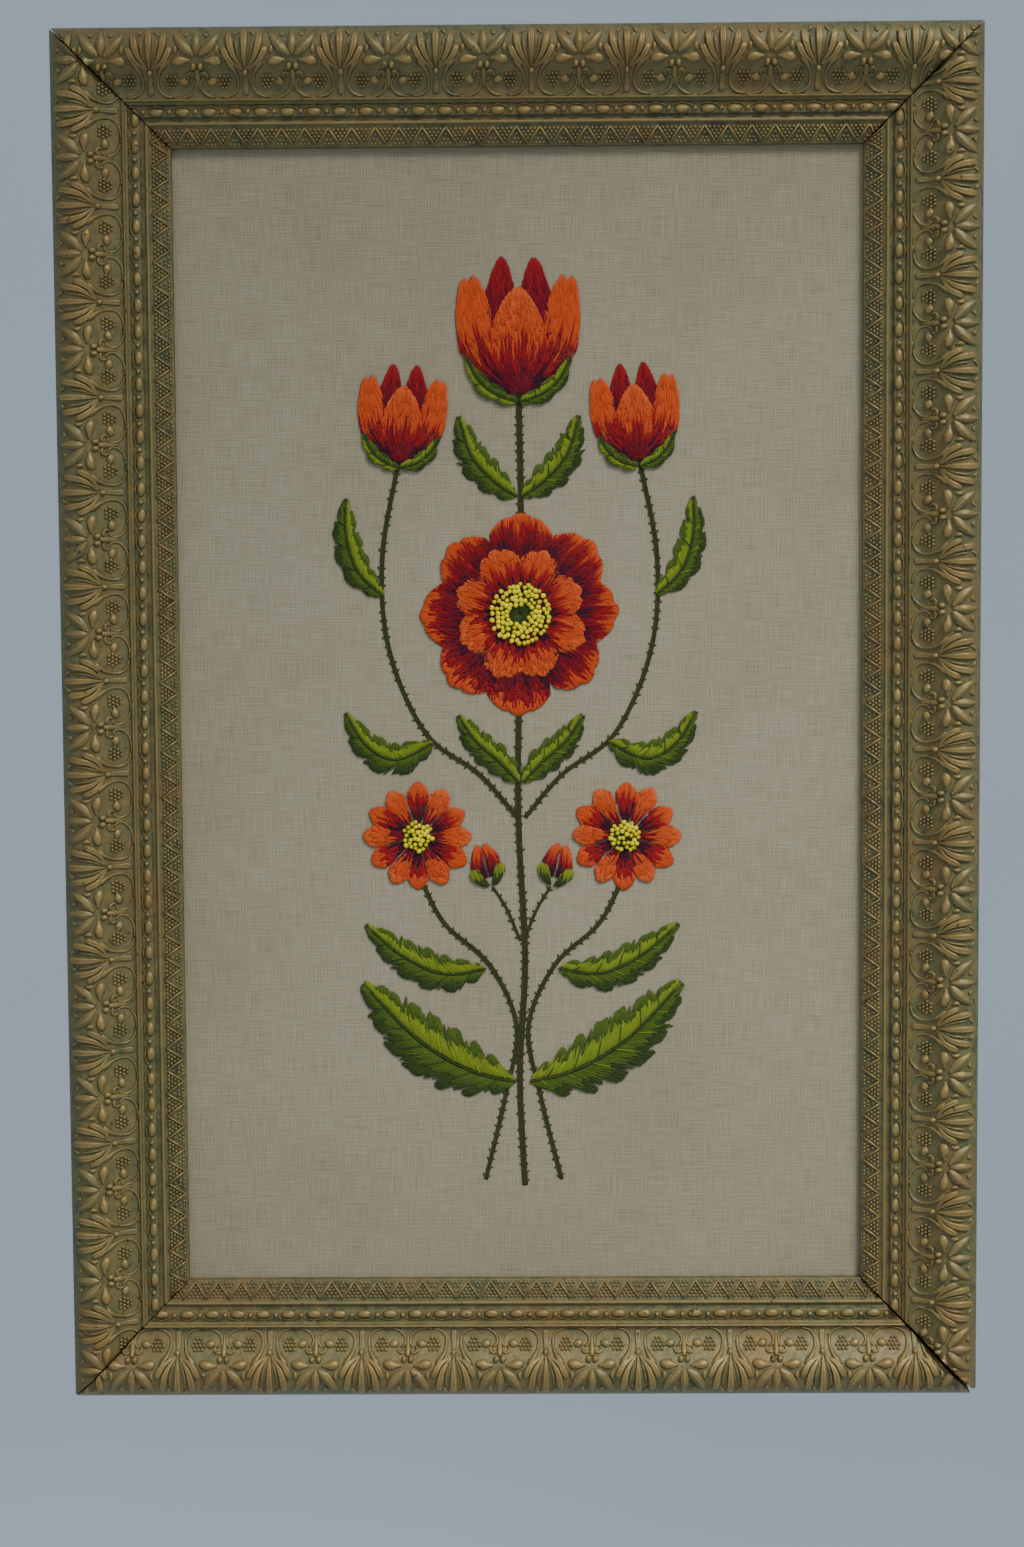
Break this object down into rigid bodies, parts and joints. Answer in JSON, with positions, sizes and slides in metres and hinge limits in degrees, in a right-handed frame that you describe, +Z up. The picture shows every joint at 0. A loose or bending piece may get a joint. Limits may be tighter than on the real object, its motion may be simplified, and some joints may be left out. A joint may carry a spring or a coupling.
{
  "type": "framed embroidery picture with its moulded wooden frame",
  "caption": "Upright embroidered flower spray on a flat linen ground, held in a wide mitred ornamental frame that hangs on a wall.",
  "frame": {"origin": "the middle of the flat back of the top rail, where the picture bears on the wall", "axes": "+Z up, the picture faces -Y, and +Y points into the wall"},
  "size_m": [0.61, 0.04, 0.914],
  "materials": {
    "gilt_moulding": "cast ornament on wood, old bronze gold with a grey-green wash in the hollows, satin",
    "linen": "plain woven natural linen, matt, with uneven threads",
    "flower_wool": "crewel wool in orange, red and dark crimson, matt with a soft halo",
    "leaf_wool": "crewel wool in yellow green, mid green and dark olive, matt",
    "knot_wool": "bright yellow crewel wool in French knots, matt",
    "board": "brown pressed hardboard, matt"
  },
  "bodies": {
    "root": {"rail_top": "gilt_moulding", "rail_right": "gilt_moulding", "rail_bottom": "gilt_moulding", "rail_left": "gilt_moulding", "linen_ground": "linen", "backing_board": "board"}
  },
  "joints": []
}
